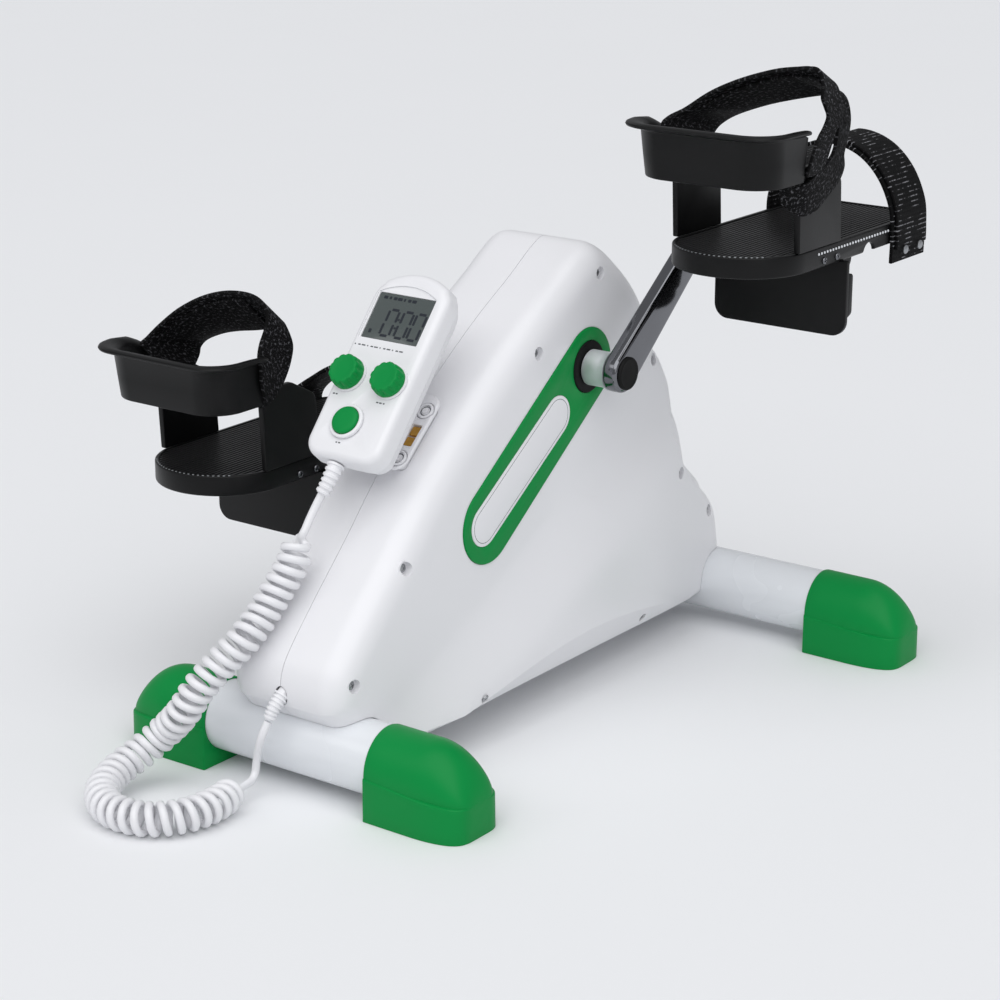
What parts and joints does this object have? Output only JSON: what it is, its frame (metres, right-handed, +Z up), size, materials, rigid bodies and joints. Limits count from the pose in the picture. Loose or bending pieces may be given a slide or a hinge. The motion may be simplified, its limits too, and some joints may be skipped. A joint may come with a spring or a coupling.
{
  "type": "electric pedal exerciser",
  "caption": "Floor-standing motorised pedal exerciser: moulded housing on capped tubes, crank, strapped pedals with heel cups, and a docked handset on a curly cord",
  "frame": {"origin": "The middle of the base on the floor: halfway between the outer ends of the foot caps and halfway between the front and rear caps, at the height of their undersides, measured without the cord.", "axes": "+X is the machine's right for a user who sits in front of it and faces it, +Y points from the user to the machine's rear, and +Z points up."},
  "size_m": [0.4456, 0.6262, 0.4689],
  "materials": {
    "white_plastic": "smooth semi-gloss moulded plastic",
    "green_plastic": "smooth semi-gloss moulded plastic",
    "black_plastic": "fine-grained moulded plastic",
    "black_rubber": "matt",
    "black_webbing": "hook-and-loop strap",
    "white_enamel": "white baked enamel",
    "chrome_plate": "bright plate",
    "zinc_steel": "zinc plate",
    "brass_strip": "bright",
    "display_panel": "grey liquid crystal panel"
  },
  "bodies": {
    "machine": {"front_tube": "white_enamel", "rear_tube": "white_enamel", "foot_cap_front_right": "green_plastic", "foot_cap_front_left": "green_plastic", "foot_cap_rear_right": "green_plastic", "foot_cap_rear_left": "green_plastic", "housing_right": "white_plastic", "housing_left": "white_plastic", "side_trim_right": "green_plastic", "side_trim_left": "green_plastic", "side_plate_right": "white_plastic", "side_plate_left": "white_plastic", "hub_seal_right": "black_rubber", "hub_seal_left": "black_rubber", "chassis_beam": "zinc_steel", "drive_bracket": "zinc_steel", "drive_motor": "black_plastic", "cradle": "white_plastic", "contact_strip_1": "brass_strip", "contact_strip_2": "brass_strip", "nose_cord_relief": "white_plastic", "cord_upper": "white_plastic", "curly_cord": "white_plastic", "cord_lower": "white_plastic"},
    "crank": {"crank_axle": "zinc_steel", "drive_gear": "brass_strip", "crank_arm_right": "chrome_plate", "crank_arm_left": "chrome_plate", "crank_cap_right": "black_plastic", "crank_cap_left": "black_plastic", "pedal_spindle_right": "zinc_steel", "pedal_spindle_left": "zinc_steel"},
    "worm": {"drive_worm": "zinc_steel"},
    "pedal_right": {"footplate_right": "black_plastic", "foot_pad_right": "black_rubber", "heel_cup_right": "black_plastic", "guard_plate_right": "black_plastic", "instep_strap_right": "black_webbing", "toe_strap_right": "black_webbing"},
    "pedal_left": {"footplate_left": "black_plastic", "foot_pad_left": "black_rubber", "heel_cup_left": "black_plastic", "guard_plate_left": "black_plastic", "instep_strap_left": "black_webbing", "toe_strap_left": "black_webbing"},
    "handset": {"handset_back": "white_plastic", "handset_front": "white_plastic", "display": "display_panel", "knob_collar_1": "white_plastic", "knob_collar_2": "white_plastic", "button_collar": "white_plastic", "handset_cord_relief": "white_plastic"},
    "knob_1": {"knob_1": "green_plastic"},
    "knob_2": {"knob_2": "green_plastic"},
    "button": {"push_button": "green_plastic"}
  },
  "joints": [
    {"name": "crank_spin", "type": "hinge", "parent": "machine", "child": "crank", "pos_m": [0, 0.036, 0.2465], "axis": [1, 0, 0], "continuous": true},
    {"name": "worm_spin", "type": "hinge", "parent": "machine", "child": "worm", "pos_m": [-0.014, 0.036, 0.184], "axis": [0, 1, 0], "continuous": true},
    {"name": "pedal_right_spin", "type": "hinge", "parent": "crank", "child": "pedal_right", "pos_m": [0.155, 0.13625, 0.32768], "axis": [1, 0, 0], "continuous": true},
    {"name": "pedal_left_spin", "type": "hinge", "parent": "crank", "child": "pedal_left", "pos_m": [-0.155, -0.06425, 0.16532], "axis": [1, 0, 0], "continuous": true},
    {"name": "handset_lift", "type": "slide", "parent": "machine", "child": "handset", "axis": [0, -0.7638, 0.6455], "range_m": [0, 0.05], "deforming": ["cord_upper", "curly_cord"]},
    {"name": "knob_1_turn", "type": "hinge", "parent": "handset", "child": "knob_1", "pos_m": [-0.0188, -0.14758, 0.268], "axis": [0, -0.7638, 0.6455], "range_deg": [-300, 0]},
    {"name": "knob_2_turn", "type": "hinge", "parent": "handset", "child": "knob_2", "pos_m": [0.0165, -0.14758, 0.268], "axis": [0, -0.7638, 0.6455], "range_deg": [-300, 0]},
    {"name": "button_press", "type": "slide", "parent": "handset", "child": "button", "axis": [0, 0.7638, -0.6455], "range_m": [0, 0.0015], "stiffness_N_per_m": 500, "springref_m": -0.001}
  ],
  "couplings": [
    {"joint": "pedal_right_spin", "follows": "crank_spin", "ratio": -1},
    {"joint": "pedal_left_spin", "follows": "crank_spin", "ratio": -1},
    {"joint": "worm_spin", "follows": "crank_spin", "ratio": 15}
  ]
}
